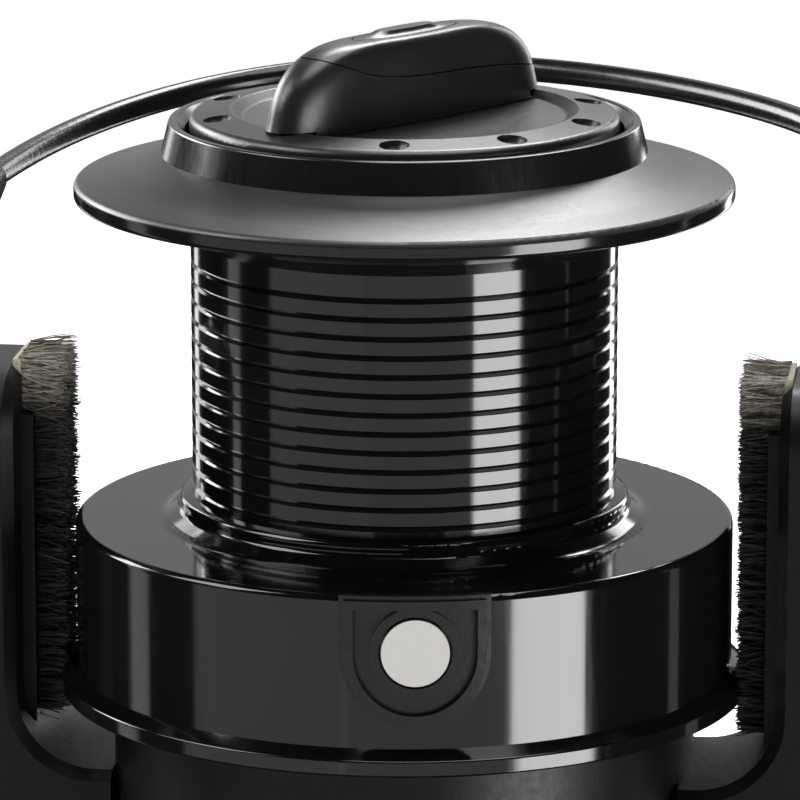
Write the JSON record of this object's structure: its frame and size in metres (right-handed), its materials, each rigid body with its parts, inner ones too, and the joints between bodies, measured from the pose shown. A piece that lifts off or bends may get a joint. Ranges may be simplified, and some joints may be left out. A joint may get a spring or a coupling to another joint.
{
  "type": "fixed spool spinning reel",
  "caption": "Open-face fixed-spool fishing reel with a skirted long-cast spool, front drag knob, two-arm rotor with brush strips, wire bail, gearbox, crank handle and rod foot.",
  "frame": {"origin": "middle of the foot's flat seat face", "axes": "+Y out of the seat face towards the rod, +Z along the spool's axis towards the rod's tip, +X on the handle's side"},
  "size_m": [0.1645, 0.129, 0.2257],
  "materials": {
    "case": "satin black paint on cast metal",
    "rotor_black": "matte black moulded",
    "anodised": "gloss black anodised",
    "lip_grey": "satin dark grey anodised",
    "collar": "gloss dark anodised, turned",
    "steel": "ground steel",
    "chrome": "bright chrome",
    "gear_metal": "cut gear metal",
    "bronze": "plain bearing metal",
    "felt": "compressed fibre",
    "backing": "woven tape",
    "pile": "dense short pile",
    "knob_plastic": "satin black moulded",
    "clip_plastic": "black moulded",
    "handle_metal": "black anodised",
    "grip_foam": "dense foam"
  },
  "bodies": {
    "housing_body": {"housing": "case", "side_cover": "case", "case_screws": "steel", "rear_cap": "knob_plastic", "port_cap": "knob_plastic", "drive_bearings": "steel", "pinion_bearing": "steel", "worm_bush": "bronze", "guide_rod": "steel", "clutch_ring": "steel", "clutch_rollers": "steel"},
    "lever_body": {"anti_reverse_lever": "knob_plastic"},
    "crank_body": {"drive_gear": "gear_metal", "drive_shaft": "steel", "handle_shaft": "steel", "handle_arm": "handle_metal", "handle_spindle": "steel"},
    "handle_knob_body": {"handle_knob": "grip_foam", "handle_knob_cap": "knob_plastic"},
    "rotor_body": {"rotor": "rotor_black", "pinion": "bronze", "clutch_sleeve": "steel", "rotor_nut": "steel", "arm_cover_right": "rotor_black", "arm_cover_left": "rotor_black", "arm_cover_screws": "steel", "brush_backings": "backing", "brush_right": "pile", "brush_left": "pile", "bail_spring": "steel", "pivot_screws": "steel"},
    "bail_body": {"bail_arm": "handle_metal", "bail_lever": "handle_metal", "bail_wire": "chrome", "wire_cone": "chrome", "roller_screw": "steel"},
    "roller_body": {"line_roller": "chrome"},
    "worm_body": {"worm_shaft": "steel"},
    "shaft_body": {"main_shaft": "steel", "slider": "gear_metal", "slider_pawl": "steel", "click_gear": "gear_metal", "spool_seat": "bronze", "drag_plates": "steel"},
    "spool_body_group": {"spool_body": "anodised", "spool_skirt": "anodised", "spool_lip": "lip_grey", "lip_collar": "collar", "spool_bearings": "steel", "line_clip": "clip_plastic", "drag_felts": "felt", "drag_clip": "steel"},
    "clip_button_body": {"line_clip_button": "steel"},
    "pressure_body": {"pressure_plate": "steel"},
    "drag_knob_body": {"drag_knob": "knob_plastic", "grip_base": "knob_plastic", "grip_cap": "knob_plastic", "drag_nut": "bronze", "drag_spring": "steel"}
  },
  "joints": [
    {"name": "crank_turn", "type": "hinge", "parent": "housing_body", "child": "crank_body", "pos_m": [0, -0.0925, 0.0085], "axis": [1, 0, 0], "continuous": true},
    {"name": "rotor_spin", "type": "hinge", "parent": "housing_body", "child": "rotor_body", "pos_m": [0, -0.084, 0.04], "axis": [0, 0, 1], "continuous": true},
    {"name": "worm_spin", "type": "hinge", "parent": "housing_body", "child": "worm_body", "pos_m": [-0.00549, -0.07222, 0.04], "axis": [0, 0, 1], "continuous": true},
    {"name": "anti_reverse_flip", "type": "hinge", "parent": "housing_body", "child": "lever_body", "pos_m": [-0.007, -0.11102, 0.022], "axis": [0, 0, 1], "range_deg": [0, 25]},
    {"name": "handle_knob_spin", "type": "hinge", "parent": "crank_body", "child": "handle_knob_body", "pos_m": [0.0727, -0.0925, -0.0715], "axis": [1, 0, 0], "continuous": true},
    {"name": "bail_flip", "type": "hinge", "parent": "rotor_body", "child": "bail_body", "pos_m": [0, -0.084, 0.094], "axis": [0.9925, -0.1219, 0], "range_deg": [0, 112]},
    {"name": "line_roller_spin", "type": "hinge", "parent": "bail_body", "child": "roller_body", "pos_m": [-0.05211, -0.0776, 0.1174], "axis": [0.1219, 0.9925, 0], "continuous": true},
    {"name": "spool_stroke", "type": "slide", "parent": "housing_body", "child": "shaft_body", "axis": [0, 0, 1], "range_m": [0, 0.018]},
    {"name": "spool_drag_spin", "type": "hinge", "parent": "shaft_body", "child": "spool_body_group", "pos_m": [0, -0.084, 0.04], "axis": [0, 0, 1], "continuous": true},
    {"name": "line_clip_lift", "type": "slide", "parent": "spool_body_group", "child": "clip_button_body", "axis": [0.0297, -0.9996, 0], "range_m": [0, 0.0007]},
    {"name": "drag_press", "type": "slide", "parent": "shaft_body", "child": "pressure_body", "axis": [0, 0, 1], "range_m": [0, 0.0024]},
    {"name": "drag_knob_turn", "type": "hinge", "parent": "pressure_body", "child": "drag_knob_body", "pos_m": [0, -0.084, 0.04], "axis": [0, 0, 1], "range_deg": [0, 1080]}
  ],
  "couplings": [
    {"joint": "rotor_spin", "follows": "crank_turn", "ratio": -4.3},
    {"joint": "worm_spin", "follows": "crank_turn", "ratio": 2.6875},
    {"joint": "drag_knob_turn", "follows": "drag_press", "rad_per_m": 7854}
  ]
}
